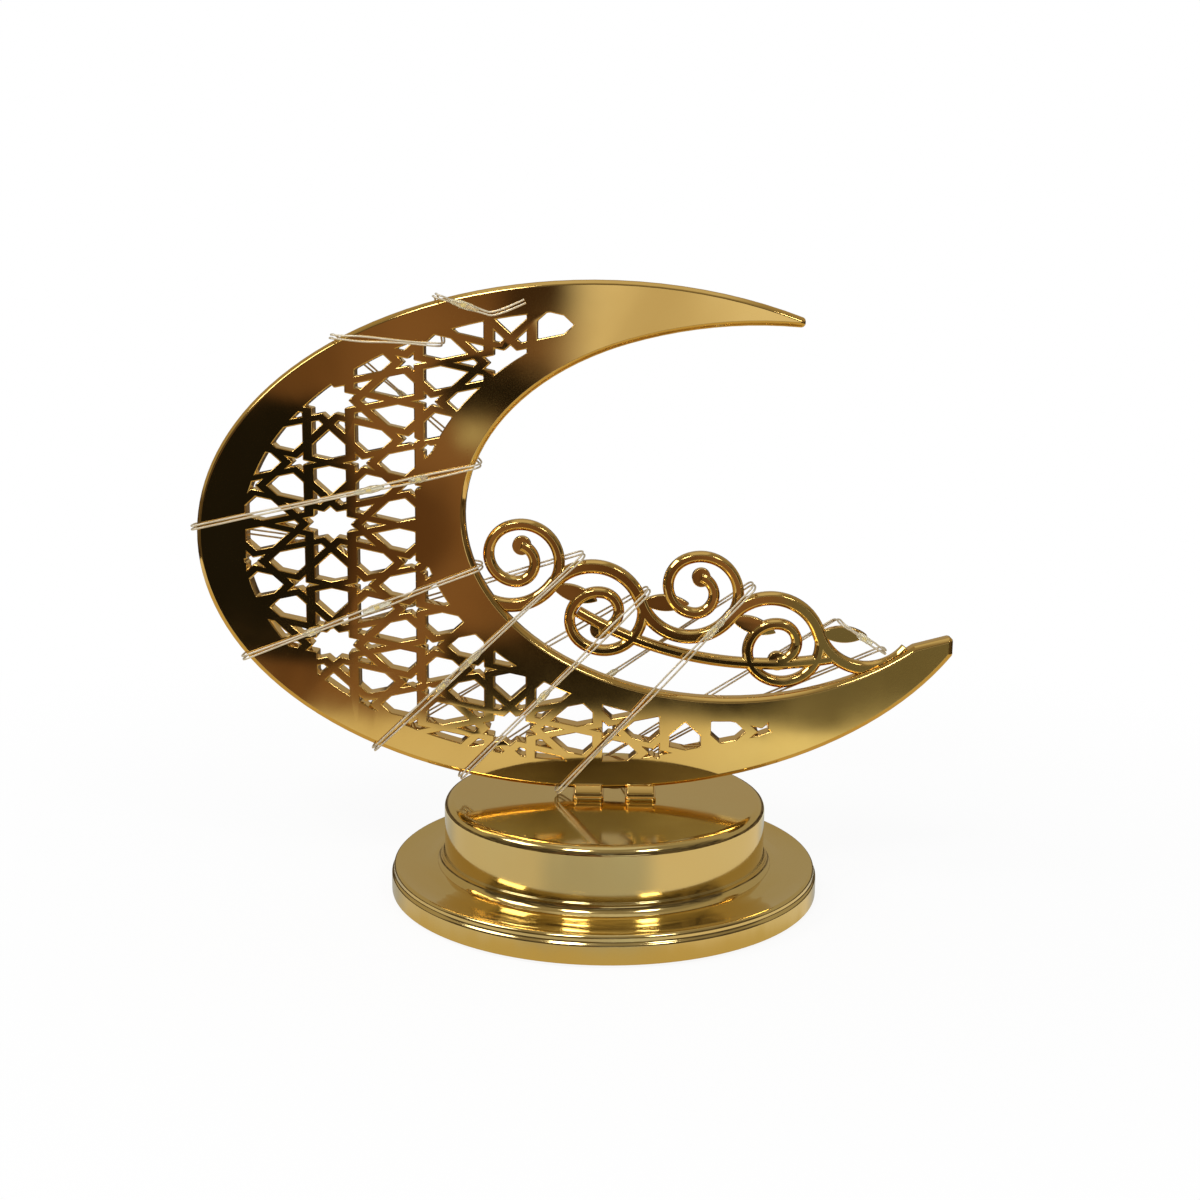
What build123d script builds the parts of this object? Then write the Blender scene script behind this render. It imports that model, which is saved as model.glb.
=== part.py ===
"""Eid crescent ornament: a pierced gold crescent on a stepped round base, wound with a light string.

Millimetres, +Z up. The origin is the centre of the base on the surface it stands on.
The crescent stands in the X-Z plane and its front faces -Y.
"""

import math
import os

from build123d import *

# Crescent: an outer and an inner ellipse, seen from the front
plate_thickness = 6.0
plate_edge_bevel = 1.2
outer_half_width = 122.6
outer_half_height = 78.6
outer_centre_x = -3.2
crescent_bottom_z = 32.0
inner_half_width = 80.7
inner_half_height = 56.5
inner_offset_x = 40.2
inner_offset_z = 7.8
upper_horn_length = 61.4
upper_horn_rise = 65.2
upper_horn_start = 113.0
lower_horn_length = 110.4
lower_horn_height = 6.0
lower_horn_notch = 44.0
horn_tip_round = 1.35

# Pierced field: the same two ellipses drawn in by a border that is wider at the sides
outer_border_side = 15.6
outer_border_top = 9.3
inner_border_side = 11.6
inner_border_top = 7.5
field_shift_x = -2.6
upper_field_reach = -7.5

# Ten-fold star pattern of the pierced field
rosette_radius = 18.8
pattern_stretch = 1.53
pattern_left = 81.4
pattern_rise = 4.4
strip_width = 2.15
smallest_hole_area = 2.5

# Lugs that hold the crescent on the base
lug_spacing = 16.4
lug_centre_x = 3.0
lug_width = 7.0
lug_depth = 5.0
lug_shoulder = 1.4
lug_rise = 1.6
lug_reach = 2.6
lug_slope = 2.0
pad_reach = 1.2
pad_height = 1.0
pad_round = 1.5
lug_clearance = 0.15
lug_screw_depth = 2.6
washer_thickness = 1.2
washer_overlap = 2.2

# Stepped round base
flange_radius = 67.0
flange_height = 9.4
rim_lift = 0.8
rim_bead = 0.7
shell_wall = 2.2
drum_radius = 50.4
drum_top_z = 29.4
drum_edge_round = 2.8
skirt_height = 3.3
skirt_flare = 2.4
skirt_ledge = 0.5
skirt_hollow = 0.7
dish_depth = 0.8
spigot_height = 5.0
spigot_wall = 1.8
fit_clearance = 0.25

# Underside: plate, feet and fasteners
plate_floor_z = 4.0
floor_thickness = 2.0
foot_radius = 5.5
foot_circle = 55.0
screw_circle = 58.0
screw_radius = 1.2
screw_head_radius = 2.5
screw_head_height = 1.6
screw_bite = 1.6
fastener_count = 4

# Battery box
cell_radius = 7.1
cell_length = 49.0
cell_nub_radius = 2.7
cell_nub_length = 1.5
cell_gap = 0.8
cell_count = 3
contact_room = 4.0
contact_thickness = 0.4
spring_wide_share = 0.7
spring_narrow_share = 0.4
contact_share = 0.8
well_wall = 1.6
door_thickness = 1.6
door_overlap = 3.5
door_clearance = 0.3
rail_width = 1.5
rail_lip = 2.0
rail_lip_thickness = 0.8
grip_grooves = 4
grip_pitch = 2.4
grip_width = 1.2
grip_depth = 0.5
grip_length = 22.0

# Slide switch and circuit board
switch_y = -38.0
switch_length = 12.0
switch_width = 6.0
switch_height = 5.0
switch_knob = 3.0
switch_travel = 2.5
switch_clearance = 0.3
switch_head = 0.9
switch_knob_drop = 1.6
board_length = 22.0
board_width = 13.0
board_thickness = 1.2
resistor_radius = 1.1
resistor_length = 6.0

# Scroll in the crescent's opening
scroll_thickness = 4.0
scroll_bevel = 0.9
stem_width = 4.2
volute_width = 3.4
stem_start_left = 82.0
stem_start_drop = 17.4
stem_slope = -9.5
stem_radius = 15.9
stem_turn = 124.0
stem_arcs = 5
volute_radii = (11.8, 8.8, 5.8)
bow_points = ((-46.0, -30.0), (0.0, -45.2), (33.0, -43.8))
volute_turns = (150.0, 150.0, 170.0)
bud_radius = 2.9
leaf_length = 15.0
leaf_width = 5.0
leaf_lean = 70.0
scroll_seat_gap = 0.1

# Light string: two bare strands side by side, with drops of clear resin
strand_radius = 0.3
strand_spacing = 1.1
strand_sides = 4
drop_radius = 1.4
drop_end_radius = 0.7
drop_taper = 2.2
drop_sides = 8
drop_length = 11.0
small_drop_length = 6.5
drop_clearance = 0.2
long_drops = {1: 0.5, 2: 0.8, 3: 0.5, 5: 0.5, 6: 0.47, 7: 0.5, 8: 0.57, 9: 0.5, 10: 0.62, 11: 0.5, 14: 0.5}
short_drops = {0: 0.5, 4: 0.45, 6: 0.34, 8: 0.3, 10: 0.79}
turn_overhang = 1.6
turn_radius = 4.0
outer_turns = (264.4, 250.0, 236.0, 208.0, 178.0, 130.5, 113.5)
inner_turns = (197.0, 164.0)
scroll_turns = (49.5 - 41.2j, 35.0 - 31.9j, 8.2 - 20.9j, -24.2 - 22.8j, -44.4 - 12.0j)
hole_turn = -47.3 + 58.9j
tail_points = (-31.3 + 67.7j, -22.3 + 72.0j)
lead_rise = 9.0
lead_radius = 7.0
tail_radius = 5.0
grommet_x = 3.0
grommet_y = 12.0
grommet_radius = 2.6
grommet_bore = 1.7
grommet_lip = 0.8

# Places worked out from the sizes above
half_plate = plate_thickness / 2
outer_centre_z = crescent_bottom_z + outer_half_height
inner_centre_x = outer_centre_x + inner_offset_x
inner_centre_z = outer_centre_z + inner_offset_z
drum_underside_z = drum_top_z - shell_wall
drum_bore = drum_radius - shell_wall
skirt_radius = drum_radius + skirt_flare
floor_top_z = plate_floor_z + floor_thickness
cell_pitch = 2 * cell_radius + cell_gap
cell_z = floor_top_z - floor_thickness + cell_gap + cell_radius
well_length = cell_length + cell_nub_length + 2 * contact_room
well_width = cell_count * cell_pitch + cell_gap
well_roof_z = cell_z + cell_radius + cell_gap
well_top_z = well_roof_z + well_wall
board_top_z = well_top_z + board_thickness
screw_tip_z = floor_top_z + screw_bite
door_half_length = well_length / 2 + door_overlap
door_half_width = well_width / 2 + door_overlap
door_low_z = plate_floor_z - door_clearance - door_thickness
rail_low_z = door_low_z - door_clearance - rail_lip_thickness
lug_places = [lug_centre_x - lug_spacing / 2, lug_centre_x + lug_spacing / 2]
strand_height = half_plate + drop_clearance + drop_radius


def on_ellipse(centre_x, centre_z, half_width, half_height, degrees):
    """Point of an upright ellipse at an angle measured as on a circle."""
    angle = math.radians(degrees)
    return centre_x + half_width * math.cos(angle), centre_z + half_height * math.sin(angle)


def upright(face, thickness):
    """Solid of a face drawn in X and Z, spread evenly about the plane y = 0."""
    return extrude(Plane.XZ * face, amount=thickness / 2, both=True)


def block(low, high):
    """Box between two corners."""
    size = [b - a for a, b in zip(low, high)]
    middle = [(a + b) / 2 for a, b in zip(low, high)]
    return Pos(*middle) * Box(*size)


def disc(radius, low_z, high_z, x=0.0, y=0.0):
    """Upright cylinder between two heights."""
    return Pos(x, y, (low_z + high_z) / 2) * Cylinder(radius, high_z - low_z)


def around(count, circle, first_angle=0.0):
    """Points spaced evenly on a circle about the origin."""
    angles = [math.radians(first_angle + 360 * k / count) for k in range(count)]
    return [(circle * math.cos(a), circle * math.sin(a)) for a in angles]


def turned(points, *hollow):
    """Solid of revolution about Z of an outline in radius and height, closed by an arc through a point."""
    arc = ThreePointArc(points[-1], hollow, points[0])
    return revolve(Plane.XZ * make_face([Polyline(*points), arc]), Axis.Z)


def crescent_outline():
    """Face of the crescent: two ellipse arcs, a long arc into the upper horn and a blunt lower horn."""
    upper_tip = (outer_centre_x + upper_horn_length, outer_centre_z + upper_horn_rise)
    outer_start = math.degrees(math.acos(upper_horn_length / outer_half_width))
    outer_end = 360 - math.degrees(math.acos(lower_horn_length / outer_half_width))
    outer_arc = EllipticalCenterArc(
        (outer_centre_x, outer_centre_z), outer_half_width, outer_half_height,
        start_angle=outer_start, arc_size=outer_end - outer_start)
    inner_arc = EllipticalCenterArc(
        (inner_centre_x, inner_centre_z), inner_half_width, inner_half_height,
        start_angle=upper_horn_start, arc_size=360 - lower_horn_notch - upper_horn_start)
    into_horn = TangentArc(inner_arc @ 0, upper_tip, tangent=(inner_arc % 0) * -1)
    lower_tip = (outer_arc @ 1) + Vector(0, lower_horn_height)
    outline = make_face([
        outer_arc,
        Line(outer_arc @ 1, lower_tip),
        Line(lower_tip, inner_arc @ 1),
        inner_arc,
        into_horn,
        Line(upper_tip, outer_arc @ 0),
    ])
    tips = outline.vertices().filter_by(lambda v: v.X > upper_tip[0] - horn_tip_round)
    return fillet(tips, horn_tip_round)


def field_region():
    """Face inside which the crescent is pierced."""
    centre_x = outer_centre_x + field_shift_x / 2
    outer = Pos(centre_x, outer_centre_z) * Ellipse(
        outer_half_width - outer_border_side, outer_half_height - outer_border_top)
    inner = Pos(inner_centre_x + field_shift_x, inner_centre_z) * Ellipse(
        inner_half_width + inner_border_side, inner_half_height + inner_border_top)
    horn = Pos(outer_centre_x + upper_field_reach, outer_centre_z) * Rectangle(
        outer_half_width, outer_half_height, align=(Align.MIN, Align.MIN))
    return outer - inner - horn


def polar(radius, degrees):
    """Point at a distance and angle from a rosette's centre."""
    angle = math.radians(degrees)
    return radius * math.cos(angle), radius * math.sin(angle)


def along(axis_degrees, points):
    """Points given along and across an axis, turned to that axis."""
    angle = math.radians(axis_degrees)
    c, s = math.cos(angle), math.sin(angle)
    return [(c * u - s * v, s * u + c * v) for u, v in points]


def rosette_holes():
    """Holes of one ten-sided tile of unit inradius, and the five-pointed star at each of its corners.

    Every strip runs along a straight line. Ten lines pass at one distance from the tile's centre,
    and two more cross at 18 degrees to the edge through the middle of each side. Where two tiles
    come close without touching, the stars that face each other have two short points.
    """
    sin18, sin36, sin54, sin72 = [math.sin(math.radians(a)) for a in (18, 36, 54, 72)]
    cos18, cos36, cos54, cos72 = sin72, sin54, sin36, sin18
    half_edge = sin18 / cos18
    half_strip = strip_width / 2 / rosette_radius
    inside = half_edge * (1 - sin18) - half_strip
    outside = half_edge * (1 - sin18) + half_strip

    star = []
    for k in range(10):
        star.append(polar(inside / cos54, 18 + 36 * k))
        star.append(polar(inside / cos36, 36 + 36 * k))

    kite_side = (outside * sin72 + inside * sin36) / sin72
    kite_half = (inside * cos36 - outside * cos72) / sin72
    kite = [(outside / cos36, 0), (kite_side, kite_half), (inside / cos72, 0), (kite_side, -kite_half)]

    shoulder = (outside + inside * sin54) / cos54
    cap_top = 1 - half_strip / cos18
    cap_side = cap_top - inside * half_edge
    petal = [(outside / cos54, 0), (shoulder, inside), (cap_side, inside),
             (cap_top, 0), (cap_side, -inside), (shoulder, -inside)]
    petal_beyond = [(2 - u, v) for u, v in petal]

    holes = [star]
    for k in range(10):
        holes.append(along(36 * k, kite))
        holes.append(along(18 + 36 * k, petal))
    for axis in (54, 234):
        holes.append(along(axis, petal_beyond))

    star_line = half_edge * sin18 - half_strip
    full_tip = star_line / cos72
    short_tip = (half_edge * sin18 / cos36 - half_strip) / cos36
    corner_stars = []
    for k in range(10):
        outward = 36 * k
        corner_x, corner_z = polar(1 / cos18, outward)
        points = []
        for j in range(5):
            at_waist = k in (4, 9) and j in (2, 3)
            points.append(polar(short_tip if at_waist else full_tip, outward + 180 + 72 * j))
            points.append(polar(star_line / cos36, outward + 216 + 72 * j))
        corner_stars.append([(corner_x + u, corner_z + v) for u, v in points])
    return holes, corner_stars


def pierced_holes():
    """Faces of all holes of the field, cut off at its edge."""
    region = field_region()
    box = region.bounding_box()
    tile_holes, corner_stars = rosette_holes()
    pattern_x = outer_centre_x - pattern_left
    pattern_z = outer_centre_z + pattern_rise
    up = complex(0, 2)
    sideways = complex(*polar(2, 18))
    holes = []
    corners_done = set()
    for i in range(-4, 5):
        for j in range(-1, 3):
            shift = i * up + j * sideways
            shapes = list(tile_holes)
            for star in corner_stars:
                corner = sum(complex(*point) for point in star) / len(star) + shift
                place = (round(corner.real, 2), round(corner.imag, 2))
                if place not in corners_done:
                    corners_done.add(place)
                    shapes.append(star)
            for shape in shapes:
                points = [(pattern_x + pattern_stretch * rosette_radius * (u + shift.real),
                           pattern_z + rosette_radius * (v + shift.imag)) for u, v in shape]
                xs, zs = zip(*points)
                beside = min(xs) > box.max.X or max(xs) < box.min.X
                if not beside and min(zs) < box.max.Y and max(zs) > box.min.Y:
                    clipped = region & make_face(Polyline(*points, close=True))
                    if clipped is not None:
                        holes.extend(face for face in clipped.faces() if face.area > smallest_hole_area)
    return holes


def make_crescent():
    """Pierced plate with bevelled edges and two lugs that stand on the base and reach through its top."""
    plate = upright(crescent_outline(), plate_thickness)
    rims = plate.edges().filter_by(lambda e: abs(abs(e.center().Y) - half_plate) < plate_edge_bevel / 10)
    plate = chamfer(rims, plate_edge_bevel)
    plate = plate.cut(*[upright(hole, 2 * plate_thickness).solid() for hole in pierced_holes()])
    screw_top_z = crescent_bottom_z + lug_screw_depth
    for x in lug_places:
        wide = lug_width / 2 + lug_shoulder
        deep = half_plate + lug_reach
        pad_deep = deep + pad_reach
        pad = block((x - wide, -pad_deep, drum_top_z), (x + wide, pad_deep, drum_top_z + pad_height))
        plate += fillet(pad.edges().filter_by(Axis.Z), pad_round)
        wide = (wide + lug_width / 2) / 2
        shoulder = block((x - wide, -deep, drum_top_z), (x + wide, deep, crescent_bottom_z + lug_rise))
        ridges = shoulder.edges().filter_by(Axis.X).group_by(Axis.Z)[-1]
        plate += chamfer(ridges, lug_slope)
        plate += block((x - lug_width / 2, -lug_depth / 2, drum_underside_z + lug_clearance),
                       (x + lug_width / 2, lug_depth / 2, drum_top_z))
        plate -= disc(screw_radius + lug_clearance, drum_underside_z, screw_top_z + lug_clearance, x)
    return plate


def make_drum_cover():
    """Upper tier: a cap with a hollow-sided skirt, slots for the lugs and a hole for the wires."""
    skirt_top_z = flange_height + skirt_height
    ledge_radius = drum_radius + skirt_ledge
    lean = unit(complex(skirt_radius - ledge_radius, -skirt_height))
    hollow = complex(skirt_radius + ledge_radius, flange_height + skirt_top_z) / 2 - skirt_hollow * 1j * lean
    cap = turned([
        (ledge_radius, skirt_top_z), (drum_radius, skirt_top_z), (drum_radius, drum_top_z), (0, drum_top_z),
        (0, drum_underside_z), (drum_bore, drum_underside_z), (drum_bore, flange_height),
        (skirt_radius, flange_height)], hollow.real, hollow.imag)
    top_edge = cap.edges().filter_by(GeomType.CIRCLE).group_by(Axis.Z)[-1]
    cap = fillet(top_edge, drum_edge_round)
    for x in lug_places:
        wide = lug_width / 2 + lug_clearance
        deep = lug_depth / 2 + lug_clearance
        cap -= block((x - wide, -deep, drum_underside_z - 1), (x + wide, deep, drum_top_z + 1))
    return cap - disc(grommet_radius, drum_underside_z - 1, drum_top_z + 1, grommet_x, grommet_y)


def make_flange_base():
    """Lower tier: a dished ring with a beaded rim, a seat and spigot for the cap, and screw bosses."""
    dish_z = flange_height - dish_depth
    under_z = dish_z - shell_wall
    spigot_radius = drum_bore - fit_clearance
    rim_radius = flange_radius - 2 * rim_bead
    ring = turned([
        (skirt_radius, flange_height), (spigot_radius, flange_height),
        (spigot_radius, flange_height + spigot_height),
        (spigot_radius - spigot_wall, flange_height + spigot_height), (spigot_radius - spigot_wall, under_z),
        (flange_radius - shell_wall, under_z), (flange_radius - shell_wall, rim_lift),
        (flange_radius, rim_lift), (flange_radius, flange_height - 4 * rim_bead),
        (flange_radius - rim_bead, flange_height - 3 * rim_bead),
        (flange_radius - rim_bead, flange_height - rim_bead),
        (rim_radius, flange_height)], (skirt_radius + rim_radius) / 2, dish_z)
    for x, y in around(fastener_count, screw_circle):
        ring += disc(screw_head_radius + lug_shoulder, floor_top_z, under_z, x, y)
        ring -= disc(screw_radius + lug_clearance, floor_top_z, screw_tip_z + lug_clearance, x, y)
    return ring


def make_bottom_plate():
    """Round plate with the battery well above it and the door's rails below it."""
    plate = disc(flange_radius - shell_wall - fit_clearance, plate_floor_z, floor_top_z)
    plate += block((-well_length / 2 - well_wall, -well_width / 2 - well_wall, plate_floor_z),
                   (well_length / 2 + well_wall, well_width / 2 + well_wall, well_top_z))
    plate -= block((-well_length / 2, -well_width / 2, plate_floor_z - 1),
                   (well_length / 2, well_width / 2, well_roof_z))
    for side in (-1, 1):
        inner = side * (door_half_width + door_clearance)
        rail = sorted([inner, inner + side * rail_width])
        lip = sorted([inner - side * rail_lip, inner + side * rail_width])
        plate += block((-door_half_length, rail[0], rail_low_z), (door_half_length, rail[1], plate_floor_z))
        plate += block((-door_half_length, lip[0], rail_low_z),
                       (door_half_length, lip[1], rail_low_z + rail_lip_thickness))
    stop_x = -door_half_length - door_clearance
    plate += block((stop_x - rail_width, -grip_length / 2, door_low_z),
                   (stop_x, grip_length / 2, plate_floor_z))
    slot_half = (switch_travel + switch_knob) / 2 + switch_clearance
    slot_deep = switch_knob / 2 + switch_clearance
    plate -= block((-slot_half, switch_y - slot_deep, plate_floor_z - 1),
                   (slot_half, switch_y + slot_deep, floor_top_z + 1))
    for x, y in around(fastener_count, screw_circle):
        plate -= disc(screw_radius + lug_clearance, plate_floor_z - 1, floor_top_z + 1, x, y)
    return plate


def make_battery_door():
    """Flat door that slides along X in the rails, with grip grooves at its outer end."""
    door = block((-door_half_length, -door_half_width, door_low_z),
                 (door_half_length, door_half_width, door_low_z + door_thickness))
    for k in range(grip_grooves):
        x = door_half_length - grip_pitch * (k + 1)
        door -= block((x - grip_width / 2, -grip_length / 2, door_low_z - 1),
                      (x + grip_width / 2, grip_length / 2, door_low_z + grip_depth))
    return door


def cell_rows():
    """Middle of each cell across the well, and which way its button end points."""
    return [((k - (cell_count - 1) / 2) * cell_pitch, 1 if k % 2 == 0 else -1) for k in range(cell_count)]


def lying(radius, low_x, high_x, y, z):
    """Cylinder along X between two places."""
    return Pos((low_x + high_x) / 2, y, z) * Rot(0, 90, 0) * Cylinder(radius, abs(high_x - low_x))


def make_battery_cells():
    """Cells side by side, every other one turned round."""
    half = (cell_length + cell_nub_length) / 2
    cells = []
    for y, way in cell_rows():
        body = lying(cell_radius, -way * half, way * (half - cell_nub_length), y, cell_z)
        cells.append(body + lying(cell_nub_radius, way * (half - cell_nub_length), way * half, y, cell_z))
    return cells


def make_contact_springs():
    """Tapered contact at the flat end of each cell."""
    springs = []
    spring = Cone(cell_radius * spring_wide_share, cell_radius * spring_narrow_share, contact_room)
    for y, way in cell_rows():
        low = -way * well_length / 2
        middle = Pos(low + way * contact_room / 2, y, cell_z)
        springs.append(middle * Rot(0, 90 * way, 0) * spring)
    return springs


def make_contact_plates():
    """Flat contact with a raised button at the other end of each cell."""
    plates = []
    for y, way in cell_rows():
        wall = way * well_length / 2
        face = wall - way * contact_thickness
        low, high = sorted([wall, face])
        half = cell_radius * contact_share
        plate = block((low, y - half, cell_z - half), (high, y + half, cell_z + half))
        plates.append(plate + lying(cell_nub_radius, face, wall - way * contact_room, y, cell_z))
    return plates


def make_switch_housing():
    """Switch body above the plate, hollow for the slider's head."""
    head_long = (switch_travel + switch_knob) / 2 + switch_clearance
    head_deep = switch_knob / 2 + switch_head + switch_clearance
    body = block((-switch_length / 2, switch_y - switch_width / 2, floor_top_z),
                 (switch_length / 2, switch_y + switch_width / 2, floor_top_z + switch_height))
    return body - block((-head_long, switch_y - head_deep, floor_top_z - 1),
                        (head_long, switch_y + head_deep, floor_top_z + switch_height / 2))


def make_switch_slider():
    """Knob that reaches down through the plate, with a wider head inside the housing."""
    low = -switch_travel / 2 - switch_knob / 2
    high = low + switch_knob
    deep = switch_knob / 2
    head_z = floor_top_z + switch_clearance
    head_top_z = floor_top_z + switch_height / 2 - switch_clearance
    knob = block((low, switch_y - deep, plate_floor_z - switch_knob_drop), (high, switch_y + deep, head_z))
    return knob + block((low, switch_y - deep - switch_head, head_z),
                        (high, switch_y + deep + switch_head, head_top_z))


def stroke(path, width):
    """Bar with bevelled edges along a chain of arcs drawn in X and Z."""
    half = width / 2
    deep = scroll_thickness / 2
    bevel = scroll_bevel
    corners = [(deep, half - bevel), (deep - bevel, half), (bevel - deep, half), (-deep, half - bevel)]
    section = make_face(Polyline(*corners, *[(u, -v) for u, v in reversed(corners)], close=True))
    start = Plane(origin=path @ 0, x_dir=(0, 0, 1), z_dir=path % 0)
    return sweep(start * section, path=path)


def arc_chain(start, heading, radii, turns):
    """Wire of tangent arcs from a start point and heading; a negative turn bends to the right."""
    arcs = []
    point = Vector(*start)
    tangent = Vector(*polar(1, heading))
    for radius, turn in zip(radii, turns):
        arc = JernArc(point, tangent, radius, turn)
        arcs.append(arc)
        point = arc @ 1
        tangent = arc % 1
    return Wire(arcs)


def leaf(start, heading):
    """Pointed leaf between two arcs."""
    tip = (start[0] + polar(leaf_length, heading)[0], start[1] + polar(leaf_length, heading)[1])
    middle = ((start[0] + tip[0]) / 2, (start[1] + tip[1]) / 2)
    off = polar(leaf_width / 2, heading + 90)
    face = make_face([ThreePointArc(start, (middle[0] + off[0], middle[1] + off[1]), tip),
                      ThreePointArc(tip, (middle[0] - off[0], middle[1] - off[1]), start)])
    return extrude(face, amount=scroll_thickness / 2 - scroll_bevel / 2, both=True)


def make_scroll():
    """Wave of arcs across the opening, with a volute and bud in each hollow and a leaf at each turn."""
    senses = [1 if k % 2 == 0 else -1 for k in range(stem_arcs)]
    first_heading = stem_slope - stem_turn / 2
    stem = arc_chain((-stem_start_left, -stem_start_drop), first_heading,
                     [stem_radius] * stem_arcs, [sense * stem_turn for sense in senses])
    pieces = [stroke(stem, stem_width)]
    bends = [edge @ 1 for edge in stem.edges()]
    for sense, bend in list(zip(senses, bends))[:-1]:
        heading = stem_slope + sense * stem_turn / 2
        volute = arc_chain((bend.X, bend.Y), heading, volute_radii, [sense * turn for turn in volute_turns])
        pieces.append(stroke(volute, volute_width))
        end = volute @ 1
        pieces.append(Pos(end.X, end.Y) * Cylinder(bud_radius, scroll_thickness - scroll_bevel))
        pieces.append(leaf((bend.X, bend.Y), heading - sense * leaf_lean))
    pieces.append(stroke(Wire([ThreePointArc(*bow_points)]), volute_width))
    scroll = pieces[0]
    for piece in pieces[1:]:
        scroll += piece
    seat = Ellipse(inner_half_width - scroll_seat_gap, inner_half_height - scroll_seat_gap)
    scroll &= extrude(seat, amount=scroll_thickness, both=True)
    return Plane.XZ * (Pos(inner_centre_x, inner_centre_z) * scroll)


def make_lug_washers():
    """Square washers that bridge the slots under the drum's top."""
    washers = []
    for x in lug_places:
        wide = lug_width / 2 + washer_overlap
        deep = lug_depth / 2 + washer_overlap
        washer = block((x - wide, -deep, drum_underside_z - washer_thickness),
                       (x + wide, deep, drum_underside_z))
        washers.append(washer - disc(screw_radius + lug_clearance, 0, drum_top_z, x))
    return washers


def screw(head_low_z, tip_z, x, y):
    """Pan-head screw pointing up."""
    head_top_z = head_low_z + screw_head_height
    head = disc(screw_head_radius, head_low_z, head_top_z, x, y)
    return head + disc(screw_radius, head_top_z, tip_z, x, y)


def make_grommet():
    """Bush with a lip that guards the wires where they leave the drum."""
    bush = disc(grommet_radius - lug_clearance, drum_underside_z, drum_top_z, grommet_x, grommet_y)
    bush += disc(grommet_radius + grommet_lip, drum_top_z, drum_top_z + grommet_lip, grommet_x, grommet_y)
    return bush - disc(grommet_bore, 0, 2 * drum_top_z, grommet_x, grommet_y)


def string_turns():
    """Where the string turns round an edge, in order, as x + z j, from one face to the other."""
    def outer(degrees):
        return complex(*on_ellipse(outer_centre_x, outer_centre_z, outer_half_width + turn_overhang,
                                   outer_half_height + turn_overhang, degrees))

    def inner(degrees):
        return complex(*on_ellipse(inner_centre_x, inner_centre_z, inner_half_width - turn_overhang,
                                   inner_half_height - turn_overhang, degrees))

    middle = complex(inner_centre_x, inner_centre_z)
    through_hole = complex(outer_centre_x, outer_centre_z) + hole_turn
    caught = [middle + point for point in scroll_turns] + [inner(degrees) for degrees in inner_turns]
    turns = caught[:1]
    for near, degrees in zip(caught[1:] + [through_hole], outer_turns):
        turns += [near, outer(degrees)]
    return turns


def string_tail():
    """Bend and free end of the string, on the front of the crescent, as x + z j."""
    return [complex(outer_centre_x, outer_centre_z) + point for point in tail_points]


def unit(vector):
    """Vector of length one."""
    return vector / abs(vector)


def strand_points(side):
    """Corner points and bend radii of one strand, from the board to its free end."""
    turns = string_turns()
    lead = [complex(grommet_x, board_top_z), complex(grommet_x, drum_top_z + lead_rise)]
    tail = string_tail()
    half = side * strand_spacing / 2
    rise = unit(turns[0] - lead[1])
    points = [Vector(grommet_x - half, grommet_y, board_top_z)]
    bend = 1j * unit(1j + rise)
    corner = lead[1] + half * bend
    points.append(Vector(corner.real, grommet_y, corner.imag))
    radii = [lead_radius]
    route = [lead[1]] + turns + [tail[0]]
    sign = 1
    for k in range(1, len(route) - 1):
        way_in = unit(route[k] - route[k - 1])
        way_out = unit(route[k + 1] - route[k])
        corner = route[k] + half * sign * 1j * unit(way_in - way_out)
        ends = (strand_height, -strand_height) if sign > 0 else (-strand_height, strand_height)
        for y in ends:
            points.append(Vector(corner.real, y, corner.imag))
            radii.append(turn_radius)
        sign = -sign
    way_in = unit(tail[0] - turns[-1])
    way_out = unit(tail[1] - tail[0])
    corner = tail[0] + half * sign * 1j * unit(way_in + way_out)
    points.append(Vector(corner.real, -strand_height, corner.imag))
    radii.append(tail_radius)
    corner = tail[1] + half * sign * 1j * way_out
    points.append(Vector(corner.real, -strand_height, corner.imag))
    return points, radii


def strand_path(side):
    """Path of one strand: straight runs joined by tangent arcs."""
    points, radii = strand_points(side)
    return FilletPolyline(*points, radius=radii)


def make_strand(path):
    """Wire of one strand, as a tube with flat sides."""
    start = Plane(origin=path @ 0, z_dir=path % 0)
    return sweep(start * RegularPolygon(strand_radius, strand_sides), path=path)


def sample(path, step):
    """Points along a path with their distance from its start."""
    count = int(path.length / step)
    return [(k * path.length / count, path @ (k / count)) for k in range(count + 1)]


def least_gap(path, step=1.5, skip=12.0):
    """Least clear distance from a strand to itself, between points further apart than skip along it."""
    points = sample(path, step)
    nearest = min((a - b).length for i, (s, a) in enumerate(points) for t, b in points[i:] if t - s > skip)
    return nearest - 2 * strand_radius


def make_drop(length):
    """Drop along Z with flat sides, drawn in at both ends."""
    def ring(z, radius):
        return Pos(0, 0, z) * RegularPolygon(radius, drop_sides)

    full_z = length / 2 - drop_taper
    return loft([ring(-length / 2, drop_end_radius), ring(-full_z, drop_radius),
                 ring(full_z, drop_radius), ring(length / 2, drop_end_radius)], ruled=True)


def make_drops():
    """Clear resin drops, each at a share of one pass of the string."""
    turns = string_turns()
    ends = turns + string_tail()[:1]
    drops = []
    for length, places in ((drop_length, long_drops), (small_drop_length, short_drops)):
        for k, share in places.items():
            way = unit(ends[k + 1] - ends[k])
            middle = ends[k] + share * (ends[k + 1] - ends[k])
            y = -strand_height if k % 2 == 0 else strand_height
            place = Plane(origin=(middle.real, y, middle.imag), x_dir=(0, 1, 0),
                          z_dir=(way.real, 0, way.imag))
            drops.append(place * make_drop(length))
    return drops


def save(name, *pieces):
    """Writes one node, with one solid or several."""
    solids = [solid for piece in pieces for solid in piece.solids()]
    shape = solids[0] if len(solids) == 1 else Compound(children=solids)
    export_step(shape, os.path.join("parts", name + ".step"))


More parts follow.
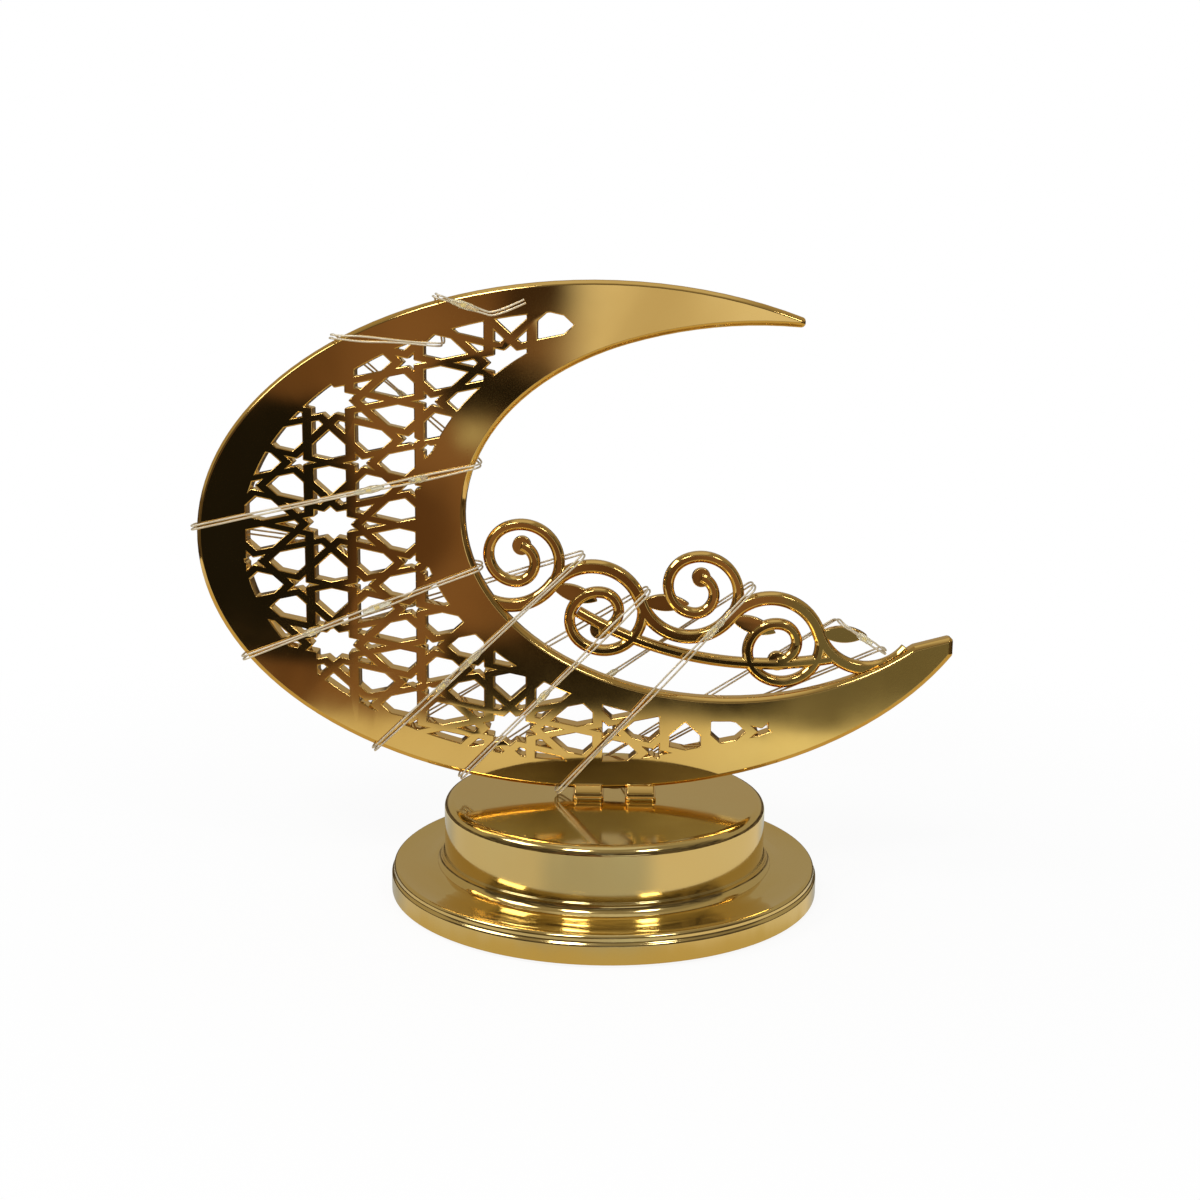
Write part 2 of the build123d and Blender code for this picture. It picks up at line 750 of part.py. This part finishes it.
def main():
    os.makedirs("parts", exist_ok=True)
    save("crescent", make_crescent())
    save("scroll_ornament", make_scroll())
    save("drum_cover", make_drum_cover())
    save("flange_base", make_flange_base())
    save("bottom_plate", make_bottom_plate())
    save("battery_door", make_battery_door())
    save("battery_cells", *make_battery_cells())
    save("contact_springs", *make_contact_springs())
    save("contact_plates", *make_contact_plates())
    save("switch_housing", make_switch_housing())
    save("switch_slider", make_switch_slider())
    save("circuit_board", block((grommet_x - board_length / 2, grommet_y - board_width / 2, well_top_z),
                                (grommet_x + board_length / 2, grommet_y + board_width / 2, board_top_z)))
    resistor_x = grommet_x - board_length / 2 + 2 * resistor_radius
    save("resistor", Pos(resistor_x, grommet_y, board_top_z + resistor_radius) * Rot(90, 0, 0)
         * Cylinder(resistor_radius, resistor_length))
    save("plate_screws", *[screw(plate_floor_z - screw_head_height, screw_tip_z, x, y)
                           for x, y in around(fastener_count, screw_circle)])
    save("rubber_feet", *[disc(foot_radius, 0, plate_floor_z, x, y)
                          for x, y in around(fastener_count, foot_circle, 180 / fastener_count)])
    save("lug_washers", *make_lug_washers())
    save("lug_screws", *[screw(drum_underside_z - washer_thickness - screw_head_height,
                               crescent_bottom_z + lug_screw_depth, x, 0) for x in lug_places])
    save("wire_grommet", make_grommet())
    save("led_drops", *make_drops())
    for name, side in (("string_wire_first", -1), ("string_wire_second", 1)):
        path = strand_path(side)
        tube = make_strand(path)
        area = RegularPolygon(strand_radius, strand_sides).area
        share = tube.volume / area / path.length
        print(name, "length", round(path.length, 1), "volume share", round(share, 4),
              "least gap", round(least_gap(path), 2))
        save(name, tube)


main()
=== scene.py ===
"""Looks of the crescent ornament: plated gold, a silver light string with resin drops, and a white studio."""

import math

import bmesh
import bpy
from mathutils import Matrix, Vector


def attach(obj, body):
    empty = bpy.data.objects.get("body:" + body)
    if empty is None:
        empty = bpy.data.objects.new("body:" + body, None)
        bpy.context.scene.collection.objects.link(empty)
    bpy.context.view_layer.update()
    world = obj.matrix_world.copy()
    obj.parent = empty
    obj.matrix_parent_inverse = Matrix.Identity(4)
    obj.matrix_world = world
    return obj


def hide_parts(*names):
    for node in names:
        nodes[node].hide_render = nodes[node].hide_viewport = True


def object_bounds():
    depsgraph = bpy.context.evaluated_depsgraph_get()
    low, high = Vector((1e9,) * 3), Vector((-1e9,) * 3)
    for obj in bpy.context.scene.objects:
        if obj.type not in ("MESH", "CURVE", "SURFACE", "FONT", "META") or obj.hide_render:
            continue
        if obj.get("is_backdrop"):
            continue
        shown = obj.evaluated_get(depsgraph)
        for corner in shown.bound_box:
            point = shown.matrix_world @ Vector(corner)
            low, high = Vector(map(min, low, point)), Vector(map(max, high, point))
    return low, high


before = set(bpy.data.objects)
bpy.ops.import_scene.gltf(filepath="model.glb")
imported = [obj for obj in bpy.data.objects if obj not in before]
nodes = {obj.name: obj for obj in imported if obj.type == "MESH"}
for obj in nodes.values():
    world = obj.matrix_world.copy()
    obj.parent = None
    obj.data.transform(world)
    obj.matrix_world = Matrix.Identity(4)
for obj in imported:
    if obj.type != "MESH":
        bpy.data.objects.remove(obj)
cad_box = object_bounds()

mm = 0.001

# Route of the light string in the part's frame, millimetres and degrees
outer_centre = -3.2 + 110.6j
outer_half = (122.6, 78.6)
inner_centre = 37.0 + 118.4j
inner_half = (80.7, 56.5)
turn_overhang = 1.6
outer_turns = (264.4, 250.0, 236.0, 208.0, 178.0, 130.5, 113.5)
inner_turns = (197.0, 164.0)
scroll_turns = (49.5 - 41.2j, 35.0 - 31.9j, 8.2 - 20.9j, -24.2 - 22.8j, -44.4 - 12.0j)
hole_turn = -47.3 + 58.9j
tail_points = (-31.3 + 67.7j, -22.3 + 72.0j)
strand_height = 4.6
strand_radius = 0.3
strand_spacing = 1.1
lead_point = 3.0 + 38.4j
lead_y = 12.0
lead_low_z = 22.6
grip_of_turn = 3.6
sway_width = 0.38
sway_shares = (0.3, 0.55, 0.8)

# Resin drops: their place on the string's runs as a share of the run, and their sizes in millimetres
long_drops = {1: 0.5, 2: 0.8, 3: 0.5, 5: 0.5, 6: 0.47, 7: 0.5, 8: 0.57, 9: 0.5, 10: 0.62, 11: 0.5, 14: 0.5}
short_drops = {0: 0.5, 4: 0.45, 6: 0.34, 8: 0.3, 10: 0.79}
drop_lengths = (9.6, 6.0)
drop_half_width = 0.98
drop_half_depth = 0.78
drop_end_radius = 0.12
drop_rings = 18
drop_sides = 20
chip_size = (0.9, 0.5, 1.6)
chip_bevel = 0.08

# Rounding of the solids' sharp edges
weld_gap = 0.06
flat_angle = 1.0
sharp_angle = 30.0

# Camera at the photograph's angle, and the lamps' common target
camera_place = (0, -0.4912, 0.1847)
camera_target = (0, 0, 0.0913)
camera_roll = 0.73
camera_lens = 48.5
camera_shift = (-0.0060, 0.0021)
lamp_target = (0, 0, 0.08)


def socket_value(tree, socket, value):
    """Links a socket or sets a number or colour."""
    if isinstance(value, bpy.types.NodeSocket):
        tree.links.new(value, socket)
    else:
        socket.default_value = value


def calc(tree, operation, *values):
    """Math node over sockets or numbers."""
    node = tree.nodes.new("ShaderNodeMath")
    node.operation = operation
    for socket, value in zip(node.inputs, values):
        socket_value(tree, socket, value)
    return node.outputs[0]


def step(tree, value, low, high):
    """Smooth rise from 0 at low to 1 at high."""
    node = tree.nodes.new("ShaderNodeMapRange")
    node.interpolation_type = "SMOOTHSTEP"
    socket_value(tree, node.inputs["Value"], value)
    node.inputs["From Min"].default_value = low
    node.inputs["From Max"].default_value = high
    return node.outputs["Result"]


def mix(tree, share, first, second):
    """Colour between two colours."""
    node = tree.nodes.new("ShaderNodeMix")
    node.data_type = "RGBA"
    socket_value(tree, node.inputs["Factor"], share)
    socket_value(tree, node.inputs["A"], first)
    socket_value(tree, node.inputs["B"], second)
    return node.outputs["Result"]


def noise(tree, scale, detail=3.0, distortion=0.0, place=None):
    """Noise value at a scale given per metre."""
    node = tree.nodes.new("ShaderNodeTexNoise")
    node.inputs["Scale"].default_value = scale
    node.inputs["Detail"].default_value = detail
    node.inputs["Distortion"].default_value = distortion
    if place is None:
        place = tree.nodes.new("ShaderNodeTexCoord").outputs["Object"]
    tree.links.new(place, node.inputs["Vector"])
    return node.outputs["Fac"]


def between(tree, value, low, high):
    """Maps noise from 0.3 to 0.7 onto a range of numbers."""
    node = tree.nodes.new("ShaderNodeMapRange")
    tree.links.new(value, node.inputs["Value"])
    node.inputs["From Min"].default_value = 0.3
    node.inputs["From Max"].default_value = 0.7
    node.inputs["To Min"].default_value = low
    node.inputs["To Max"].default_value = high
    return node.outputs["Result"]


def bump(tree, height, strength, distance):
    """Normal from a height."""
    node = tree.nodes.new("ShaderNodeBump")
    node.inputs["Strength"].default_value = strength
    node.inputs["Distance"].default_value = distance
    tree.links.new(height, node.inputs["Height"])
    return node.outputs["Normal"]


def surface(name, tone, darker, tone_scale, roughness, rough_scale, grain, **fixed):
    """Material whose colour, roughness and grain (scale, strength, depth) vary over the surface."""
    material = bpy.data.materials.new(name)
    material.use_nodes = True
    tree = material.node_tree
    shader = tree.nodes["Principled BSDF"]
    for key, value in fixed.items():
        shader.inputs[key.replace("_", " ")].default_value = value
    colour = mix(tree, between(tree, noise(tree, tone_scale), 0.0, 1.0), (*darker, 1), (*tone, 1))
    tree.links.new(colour, shader.inputs["Base Color"])
    rough = between(tree, noise(tree, rough_scale, 4.0), *roughness)
    tree.links.new(rough, shader.inputs["Roughness"])
    grain_scale, grain_strength, grain_depth = grain
    relief = bump(tree, noise(tree, grain_scale, 2.0), grain_strength, grain_depth)
    tree.links.new(relief, shader.inputs["Normal"])
    return material


def make_materials():
    """One material for each finish."""
    return {
        "mirror_gold": surface("mirror_gold", (0.86, 0.590, 0.200), (0.82, 0.540, 0.165), 30,
                               (0.03, 0.07), 45, (24, 0.03, 0.0008), Metallic=1.0),
        "satin_gold": surface("satin_gold", (0.80, 0.640, 0.290), (0.80, 0.605, 0.245), 25,
                              (0.07, 0.12), 60, (30, 0.03, 0.0006), Metallic=1.0),
        "dark_plastic": surface("dark_plastic", (0.035, 0.035, 0.038), (0.022, 0.022, 0.024), 60,
                                (0.45, 0.6), 200, (2500, 0.25, 0.0001)),
        "white_plastic": surface("white_plastic", (0.72, 0.72, 0.69), (0.64, 0.63, 0.60), 200,
                                 (0.35, 0.5), 400, (2500, 0.15, 0.0001)),
        "rubber": surface("rubber", (0.025, 0.025, 0.025), (0.014, 0.014, 0.014), 150,
                          (0.7, 0.9), 300, (1800, 0.35, 0.0002)),
        "gold_rubber": surface("gold_rubber", (0.34, 0.23, 0.07), (0.26, 0.17, 0.05), 150,
                               (0.6, 0.8), 300, (1800, 0.3, 0.0002)),
        "steel": surface("steel", (0.62, 0.61, 0.59), (0.50, 0.49, 0.48), 150,
                         (0.25, 0.42), 500, (1500, 0.1, 0.0001), Metallic=1.0),
        "cell_jacket": surface("cell_jacket", (0.45, 0.46, 0.48), (0.38, 0.39, 0.41), 90,
                               (0.3, 0.4), 300, (900, 0.05, 0.0001), Metallic=0.8),
        "board": surface("board", (0.03, 0.17, 0.07), (0.02, 0.12, 0.05), 300,
                         (0.35, 0.5), 400, (1500, 0.2, 0.0001)),
        "lacquer": surface("lacquer", (0.50, 0.34, 0.17), (0.42, 0.28, 0.13), 300,
                           (0.25, 0.35), 400, (900, 0.1, 0.0001)),
        "silver_wire": surface("silver_wire", (0.80, 0.73, 0.58), (0.62, 0.53, 0.38), 180,
                               (0.30, 0.45), 500, (1200, 0.2, 0.0001), Metallic=0.55),
        "resin": surface("resin", (0.95, 0.91, 0.74), (0.90, 0.83, 0.58), 150,
                         (0.08, 0.2), 300, (250, 0.15, 0.0003), Transmission_Weight=0.8, IOR=1.45),
        "phosphor": surface("phosphor", (0.90, 0.72, 0.20), (0.82, 0.62, 0.15), 900,
                            (0.4, 0.5), 900, (2000, 0.1, 0.0001)),
    }


def dress(name, material, round_edges=0.0, segments=2):
    """Gives a CAD node its material, and rounds its sharp edges for looks."""
    piece = nodes[name]
    piece.data.materials.clear()
    piece.data.materials.append(material)
    if round_edges:
        weld = piece.modifiers.new("weld", "WELD")
        weld.merge_threshold = weld_gap * mm
        flat = piece.modifiers.new("flat", "DECIMATE")
        flat.decimate_type = "DISSOLVE"
        flat.angle_limit = math.radians(flat_angle)
        bevel = piece.modifiers.new("round", "BEVEL")
        bevel.width = round_edges * mm
        bevel.segments = segments
        bevel.limit_method = "ANGLE"
        bevel.angle_limit = math.radians(sharp_angle)
        bevel.use_clamp_overlap = False
        piece.modifiers.new("even", "WEIGHTED_NORMAL").weight = 100


def on_ellipse(centre, half, grow, degrees):
    """Point of an upright ellipse as x + z j."""
    angle = math.radians(degrees)
    return centre + complex((half[0] + grow) * math.cos(angle), (half[1] + grow) * math.sin(angle))


def string_turns():
    """Where the string turns round an edge, in order, as x + z j."""
    caught = [inner_centre + point for point in scroll_turns]
    caught += [on_ellipse(inner_centre, inner_half, -turn_overhang, degrees) for degrees in inner_turns]
    caught.append(outer_centre + hole_turn)
    turns = caught[:1]
    for near, degrees in zip(caught[1:], outer_turns):
        turns += [near, on_ellipse(outer_centre, outer_half, turn_overhang, degrees)]
    return turns


def unit(vector):
    """Vector of length one."""
    return vector / abs(vector)


def sway(k, side, share):
    """Small sideways stray of a strand on one run, in millimetres."""
    return sway_width * math.sin(2.1 * k + 1.7 * side + 9.0 * share)


def strand_route(side):
    """Control points of one strand, from the board inside the base to its free end."""
    turns = string_turns()
    half = side * strand_spacing / 2
    tail = [outer_centre + point for point in tail_points]
    stations = [lead_point] + turns + [tail[0]]
    points = [Vector((lead_point.real - half, lead_y, lead_low_z))]
    way = unit(turns[0] - lead_point)
    lead = lead_point + half * 1j * unit(1j + way)
    points.append(Vector((lead.real, lead_y, lead.imag)))
    sign = 1
    corners = []
    for k in range(1, len(stations) - 1):
        way_in = unit(stations[k] - stations[k - 1])
        way_out = unit(stations[k + 1] - stations[k])
        corner = stations[k] + half * sign * 1j * unit(way_in - way_out)
        corners.append((corner, way_in, way_out, sign))
        sign = -sign
    end = tail[0] + half * sign * 1j * unit(unit(tail[0] - turns[-1]) + unit(tail[1] - tail[0]))
    for k, (corner, way_in, way_out, sense) in enumerate(corners):
        y = strand_height * sense
        before = corner - grip_of_turn * way_in
        after = corner + grip_of_turn * way_out
        points.append(Vector((before.real, y, before.imag)))
        points.append(Vector((corner.real, y, corner.imag)))
        points.append(Vector((corner.real, -y, corner.imag)))
        points.append(Vector((after.real, -y, after.imag)))
        following = corners[k + 1][0] if k + 1 < len(corners) else end
        for share in sway_shares:
            stray = corner + share * (following - corner) + sway(k, side, share) * 1j * way_out
            points.append(Vector((stray.real, -y, stray.imag)))
    points.append(Vector((end.real, -strand_height, end.imag)))
    loose = tail[1] + half * sign * 1j * unit(tail[1] - tail[0])
    points.append(Vector((loose.real, -strand_height, loose.imag)))
    return points


def make_strand(name, side, material):
    """One wire of the light string as a smooth tube."""
    curve = bpy.data.curves.new(name, "CURVE")
    curve.dimensions = "3D"
    curve.bevel_depth = strand_radius * mm
    curve.bevel_resolution = 3
    curve.resolution_u = 6
    curve.use_fill_caps = True
    spline = curve.splines.new("NURBS")
    route = strand_route(side)
    spline.points.add(len(route) - 1)
    for point, place in zip(spline.points, route):
        point.co = (*(place * mm), 1)
    spline.order_u = 3
    spline.use_endpoint_u = True
    curve.materials.append(material)
    piece = bpy.data.objects.new(name, curve)
    bpy.context.scene.collection.objects.link(piece)
    return piece


def drop_places():
    """Run, middle, direction, side and length of each drop."""
    turns = string_turns()
    ends = turns + [outer_centre + tail_points[0]]
    for length, places in zip(drop_lengths, (long_drops, short_drops)):
        for k, share in places.items():
            way = unit(ends[k + 1] - ends[k])
            middle = ends[k] + share * (ends[k + 1] - ends[k])
            y = -strand_height if k % 2 == 0 else strand_height
            yield k, middle, way, y, length


def add_drop(mesh, k, place, length):
    """Drawn-out resin drop: rings along its length, wide across the two wires and pinched at both ends."""
    angles = [2 * math.pi * j / drop_sides for j in range(drop_sides)]
    rows = []
    for i in range(drop_rings + 1):
        t = -1 + 2 * i / drop_rings
        full = (1 - abs(t) ** 2.6) ** 0.5
        lump = 1 + 0.10 * math.sin(5.0 * t + 1.9 * k) + 0.06 * math.sin(11.0 * t + 0.7 * k)
        wide = drop_end_radius + drop_half_width * full * lump
        deep = drop_end_radius + drop_half_depth * full * lump
        ring = [Vector((wide * math.cos(a), deep * math.sin(a), t * length / 2)) for a in angles]
        rows.append([mesh.verts.new(place @ point) for point in ring])
    for low, high in zip(rows, rows[1:]):
        for j in range(drop_sides):
            following = (j + 1) % drop_sides
            mesh.faces.new((low[j], low[following], high[following], high[j]))
    mesh.faces.new(list(reversed(rows[0])))
    mesh.faces.new(rows[-1])


def add_chip(mesh, place):
    """Light chip inside a drop: a small block with bevelled edges."""
    made = bmesh.ops.create_cube(mesh, size=1.0)["verts"]
    for vertex in made:
        vertex.co = place @ Vector(edge * size for edge, size in zip(vertex.co, chip_size))
    edges = list({edge for vertex in made for edge in vertex.link_edges})
    bmesh.ops.bevel(mesh, geom=edges, offset=chip_bevel, segments=2, affect="EDGES")


def make_drops(resin, phosphor):
    """All drops as one piece, and the chips inside them as another."""
    clear, chips = bmesh.new(), bmesh.new()
    for k, middle, way, y, length in drop_places():
        along = Vector((way.real, 0, way.imag))
        deep = Vector((0, 1, 0))
        across = deep.cross(along)
        turn = Matrix((across, deep, along)).transposed().to_4x4()
        place = Matrix.Translation((middle.real, y, middle.imag)) @ turn
        add_drop(clear, k, place, length)
        add_chip(chips, place)
    pieces = []
    for name, mesh, material in (("resin_drops", clear, resin), ("light_chips", chips, phosphor)):
        bmesh.ops.scale(mesh, vec=(mm, mm, mm), verts=mesh.verts)
        bmesh.ops.recalc_face_normals(mesh, faces=mesh.faces)
        data = bpy.data.meshes.new(name)
        mesh.to_mesh(data)
        mesh.free()
        data.polygons.foreach_set("use_smooth", [name == "resin_drops"] * len(data.polygons))
        data.materials.append(material)
        piece = bpy.data.objects.new(name, data)
        bpy.context.scene.collection.objects.link(piece)
        pieces.append(piece)
    return pieces


def make_world():
    """White to the eye, soft light all round, and a room with dark and bright stretches in mirrors."""
    world = bpy.data.worlds.new("studio")
    bpy.context.scene.world = world
    world.use_nodes = True
    tree = world.node_tree
    direction = tree.nodes.new("ShaderNodeTexCoord").outputs["Generated"]
    parts = tree.nodes.new("ShaderNodeSeparateXYZ")
    tree.links.new(direction, parts.inputs[0])

    # A direction's place in the room: across and rise on the front wall, and slope all round, a little uneven
    least = 0.05
    squares = [calc(tree, "MULTIPLY", parts.outputs[axis], parts.outputs[axis]) for axis in "XY"]
    level = calc(tree, "MAXIMUM", calc(tree, "SQRT", calc(tree, "ADD", *squares)), least)
    away = calc(tree, "MAXIMUM", calc(tree, "ABSOLUTE", parts.outputs["Y"]), least)
    stray = calc(tree, "MULTIPLY_ADD", noise(tree, 6.0, 3.0, 0.6, direction), 0.05, -0.025)
    across = calc(tree, "ADD", calc(tree, "DIVIDE", parts.outputs["X"], away), stray)
    rise = calc(tree, "ADD", calc(tree, "DIVIDE", parts.outputs["Z"], away), stray)
    slope = calc(tree, "ADD", calc(tree, "DIVIDE", parts.outputs["Z"], level), stray)
    streaks = step(tree, noise(tree, 7.0, 3.0, 0.8, direction), 0.38, 0.62)

    def streaked(dark, light):
        """Colour that runs in streaks between two tones."""
        return mix(tree, streaks, (*dark, 1), (*light, 1))

    def patch(left, right, low, high, soft, height=rise):
        """1 inside a stretch of the room given by its edges across and up, 0 outside."""
        sideways = calc(tree, "MULTIPLY", step(tree, across, left - soft, left + soft),
                        step(tree, across, right + soft, right - soft))
        upward = calc(tree, "MULTIPLY", step(tree, height, low - soft, low + soft),
                      step(tree, height, high + soft, high - soft))
        return calc(tree, "MULTIPLY", sideways, upward)

    # Brown room in front, with a black curtain on the left, a bright screen on the right and dark furniture
    room = streaked((0.11, 0.057, 0.032), (0.23, 0.130, 0.078))
    bright = streaked((0.62, 0.585, 0.52), (0.82, 0.81, 0.79))
    stretches = (
        (patch(-0.60, -0.162, -0.232, -0.066, 0.006), (0.012, 0.011, 0.010, 1)),
        (patch(-0.105, -0.030, -0.074, -0.030, 0.006), (0.014, 0.012, 0.010, 1)),
        (patch(-0.094, -0.068, -0.094, -0.076, 0.006), (0.46, 0.44, 0.36, 1)),
        (patch(-0.060, 0.030, -0.012, 0.050, 0.010), (0.050, 0.030, 0.020, 1)),
        (patch(-0.020, 0.60, -0.100, 0.050, 0.012), bright),
        (patch(-0.10, 0.30, -0.30, -0.205, 0.006), (0.020, 0.016, 0.012, 1)),
        (patch(0.112, 0.30, -0.30, -0.100, 0.008), (0.16, 0.155, 0.12, 1)),
    )
    for share, colour in stretches:
        room = mix(tree, share, room, colour)

    # Dark brown at the sides and behind
    sides = calc(tree, "MAXIMUM", step(tree, across, 0.45, 0.75), step(tree, across, -0.56, -0.66))
    behind = step(tree, parts.outputs["Y"], -0.1, 0.1)
    around = streaked((0.04, 0.028, 0.018), (0.15, 0.115, 0.075))
    room = mix(tree, calc(tree, "MAXIMUM", sides, behind), room, around)

    # Pale table below, brighter at the sides, whose far edge falls and then climbs a little towards the right
    edge = mix(tree, step(tree, across, 0.03, 0.11), (0.74, 0.70, 0.57, 1), (0.89, 0.92, 0.80, 1))
    table = mix(tree, step(tree, slope, -0.28, -0.35), edge, (0.45, 0.44, 0.41, 1))
    lit = calc(tree, "MULTIPLY", step(tree, across, -0.6, -1.3), 0.6)
    lit = calc(tree, "MAXIMUM", lit, step(tree, across, 0.35, 0.9))
    table = mix(tree, lit, table, (0.74, 0.65, 0.50, 1))
    table = mix(tree, step(tree, slope, -0.39, -0.42), table, (0.58, 0.455, 0.21, 1))
    fall = calc(tree, "MULTIPLY", step(tree, across, 0.0, 0.14), 0.007)
    climb = calc(tree, "MULTIPLY", step(tree, across, 0.14, 0.24), 0.035)
    lift = calc(tree, "MULTIPLY", calc(tree, "SUBTRACT", fall, climb), step(tree, across, 0.36, 0.26))
    room = mix(tree, step(tree, calc(tree, "ADD", slope, lift), -0.258, -0.266), room, table)

    # Dark wall above the front with a small window, a warmer one behind, and a pale ceiling
    wall = streaked((0.050, 0.040, 0.028), (0.20, 0.165, 0.115))
    shade = streaked((0.045, 0.037, 0.028), (0.100, 0.082, 0.062))
    wall = mix(tree, step(tree, slope, 0.316, 0.306), wall, shade)
    window = streaked((0.25, 0.275, 0.30), (0.35, 0.385, 0.42))
    wall = mix(tree, patch(-0.11, 0.11, 0.314, 0.39, 0.008, slope), wall, window)
    wall = mix(tree, step(tree, slope, 0.6, 0.9), wall, (0.28, 0.24, 0.17, 1))
    above = mix(tree, behind, wall, (0.39, 0.33, 0.22, 1))
    above = mix(tree, step(tree, parts.outputs["Z"], 0.93, 0.97), above, (0.60, 0.57, 0.50, 1))
    mirrored = mix(tree, step(tree, slope, 0.04, 0.12), room, above)

    rays = tree.nodes.new("ShaderNodeLightPath").outputs
    seen = mix(tree, rays["Is Glossy Ray"], (0.60, 0.60, 0.60, 1), mirrored)
    white = calc(tree, "MAXIMUM", rays["Is Camera Ray"], rays["Is Transmission Ray"])
    seen = mix(tree, white, seen, (1, 1, 1, 1))
    tree.links.new(seen, tree.nodes["Background"].inputs["Color"])


def make_floor():
    """Pale floor that is white to the eye and keeps a soft shadow."""
    half = 6.0
    corners = [(-half, -half, 0), (half, -half, 0), (half, half, 0), (-half, half, 0)]
    data = bpy.data.meshes.new("floor")
    data.from_pydata(corners, [], [(0, 1, 2, 3)])
    floor = bpy.data.objects.new("floor", data)
    bpy.context.scene.collection.objects.link(floor)
    material = bpy.data.materials.new("floor")
    material.use_nodes = True
    tree = material.node_tree
    shader = tree.nodes["Principled BSDF"]
    shader.inputs["Base Color"].default_value = (0.92, 0.92, 0.92, 1)
    shader.inputs["Roughness"].default_value = 0.9
    glow = tree.nodes.new("ShaderNodeEmission")
    shades = tree.nodes.new("ShaderNodeMixShader")
    reach = tree.nodes.new("ShaderNodeVectorMath")
    reach.operation = "LENGTH"
    tree.links.new(tree.nodes.new("ShaderNodeTexCoord").outputs["Object"], reach.inputs[0])
    glow_share = calc(tree, "MULTIPLY_ADD", step(tree, reach.outputs["Value"], 0.08, 0.40), 0.1, 0.9)
    rays = tree.nodes.new("ShaderNodeLightPath").outputs
    tree.links.new(calc(tree, "MULTIPLY", rays["Is Camera Ray"], glow_share), shades.inputs[0])
    tree.links.new(shader.outputs[0], shades.inputs[1])
    tree.links.new(glow.outputs[0], shades.inputs[2])
    tree.links.new(shades.outputs[0], tree.nodes["Material Output"].inputs["Surface"])
    data.materials.append(material)
    floor.visible_glossy = False
    floor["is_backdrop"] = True


def aim(thing, place, target, roll=0.0):
    """Puts a camera or lamp at a place, looking at a target."""
    turn = (Vector(target) - Vector(place)).to_track_quat("-Z", "Y").to_matrix().to_4x4()
    thing.matrix_world = Matrix.Translation(place) @ turn @ Matrix.Rotation(roll, 4, "Z")


def add_lamp(name, place, size, power):
    """Soft square lamp turned to the object."""
    lamp = bpy.data.lights.new(name, "AREA")
    lamp.size = size
    lamp.energy = power
    thing = bpy.data.objects.new(name, lamp)
    bpy.context.scene.collection.objects.link(thing)
    aim(thing, place, lamp_target)


def add_camera():
    """Camera that sees the object as the photograph does."""
    camera = bpy.data.cameras.new("camera")
    camera.lens = camera_lens
    camera.sensor_width = 36.0
    camera.shift_x, camera.shift_y = camera_shift
    thing = bpy.data.objects.new("camera", camera)
    bpy.context.scene.collection.objects.link(thing)
    aim(thing, camera_place, camera_target, math.radians(camera_roll))
    bpy.context.scene.camera = thing


paint = make_materials()
dress("crescent", paint["mirror_gold"], 0.35, 3)
dress("scroll_ornament", paint["mirror_gold"], 0.2)
dress("drum_cover", paint["satin_gold"], 0.3)
dress("flange_base", paint["satin_gold"], 0.35, 3)
for name in ("bottom_plate", "battery_door", "switch_housing"):
    dress(name, paint["dark_plastic"], 0.2)
dress("switch_slider", paint["white_plastic"], 0.2)
dress("rubber_feet", paint["rubber"], 0.6, 3)
dress("wire_grommet", paint["gold_rubber"], 0.2)
for name in ("plate_screws", "lug_screws", "lug_washers", "contact_springs", "contact_plates"):
    dress(name, paint["steel"])
dress("battery_cells", paint["cell_jacket"])
dress("circuit_board", paint["board"])
dress("resistor", paint["lacquer"])

for name, side in (("string_wire_first", -1), ("string_wire_second", 1)):
    strand = make_strand(name.replace("string", "silver"), side, paint["silver_wire"])
    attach(strand, "base")
    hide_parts(name)
drops, chips = make_drops(paint["resin"], paint["phosphor"])
for piece in (drops, chips):
    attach(piece, "base")
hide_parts("led_drops")

make_world()
make_floor()
add_lamp("key", (-0.28, -0.65, 0.85), 0.24, 2.6)
add_lamp("fill", (0.42, -0.60, 0.70), 0.18, 1.2)
add_lamp("edge", (-0.75, -0.25, 0.75), 0.35, 2.0)
add_camera()
bpy.context.scene.view_settings.view_transform = "Standard"

boxes = {"cad": cad_box, "visual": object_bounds()}
{name: [list(corner) for corner in box] for name, box in boxes.items()}
